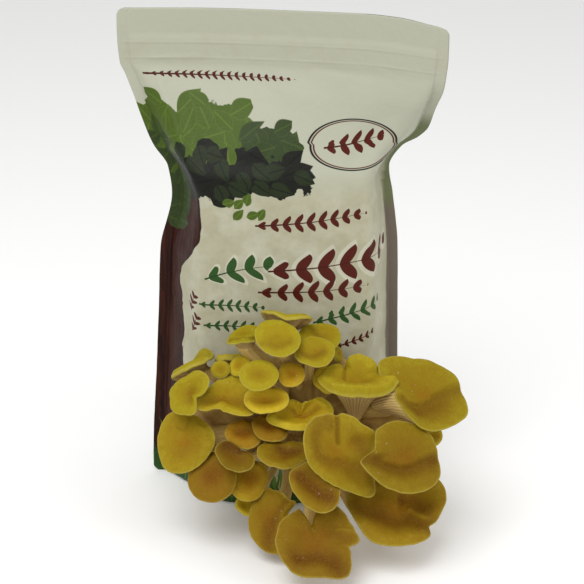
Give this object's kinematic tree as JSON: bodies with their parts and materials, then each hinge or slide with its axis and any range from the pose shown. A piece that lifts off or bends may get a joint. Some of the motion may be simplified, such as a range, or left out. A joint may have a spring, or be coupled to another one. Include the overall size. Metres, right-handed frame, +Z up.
{
  "type": "mushroom grow bag",
  "caption": "Stand-up film pouch of mushroom substrate, with a cluster of yellow oyster mushrooms growing out of a slit in its front.",
  "frame": {"origin": "the middle of the pouch's flat base, on the surface that it stands on", "axes": "+Z up the pouch to its top seal, -Y out of the printed front where the mushrooms grow, +X to the right seen from the front"},
  "size_m": [0.204, 0.2007, 0.3],
  "materials": {
    "pouch_film": "printed laminated film with a soft sheen",
    "zip_plastic": "smooth pale polyethylene",
    "substrate": "crumbly straw and sawdust grown through with white mycelium",
    "stem_flesh": "matte fibrous mushroom flesh",
    "mushroom_flesh": "matte yellow caps over pale gills and stems"
  },
  "bodies": {
    "root": {"pouch": "pouch_film", "zip_strip": "zip_plastic", "substrate_block": "substrate", "fused_stem_base": "stem_flesh", "mushroom_top_back": "mushroom_flesh", "mushroom_top_front": "mushroom_flesh", "mushroom_top_left": "mushroom_flesh", "mushroom_top_right_back": "mushroom_flesh", "mushroom_top_right": "mushroom_flesh", "mushroom_top_right_small": "mushroom_flesh", "mushroom_left_back": "mushroom_flesh", "mushroom_left_back_edge": "mushroom_flesh", "mushroom_left_bud": "mushroom_flesh", "mushroom_left_bud_upper": "mushroom_flesh", "mushroom_middle_top": "mushroom_flesh", "mushroom_middle_orange": "mushroom_flesh", "mushroom_left_upper": "mushroom_flesh", "mushroom_middle_left": "mushroom_flesh", "mushroom_middle": "mushroom_flesh", "mushroom_behind_funnel": "mushroom_flesh", "mushroom_funnel": "mushroom_flesh", "mushroom_far_right": "mushroom_flesh", "mushroom_folded": "mushroom_flesh", "mushroom_left_large": "mushroom_flesh", "mushroom_inner_left": "mushroom_flesh", "mushroom_inner": "mushroom_flesh", "mushroom_lower_slanted": "mushroom_flesh", "mushroom_lower_middle": "mushroom_flesh", "mushroom_front_large": "mushroom_flesh", "mushroom_right_large": "mushroom_flesh", "mushroom_lower_right": "mushroom_flesh", "mushroom_right_hidden": "mushroom_flesh", "mushroom_lower_left": "mushroom_flesh", "mushroom_lower_inner": "mushroom_flesh", "mushroom_lower_small": "mushroom_flesh", "mushroom_bottom_left": "mushroom_flesh", "mushroom_front_low": "mushroom_flesh", "mushroom_bottom_front": "mushroom_flesh"}
  },
  "joints": []
}
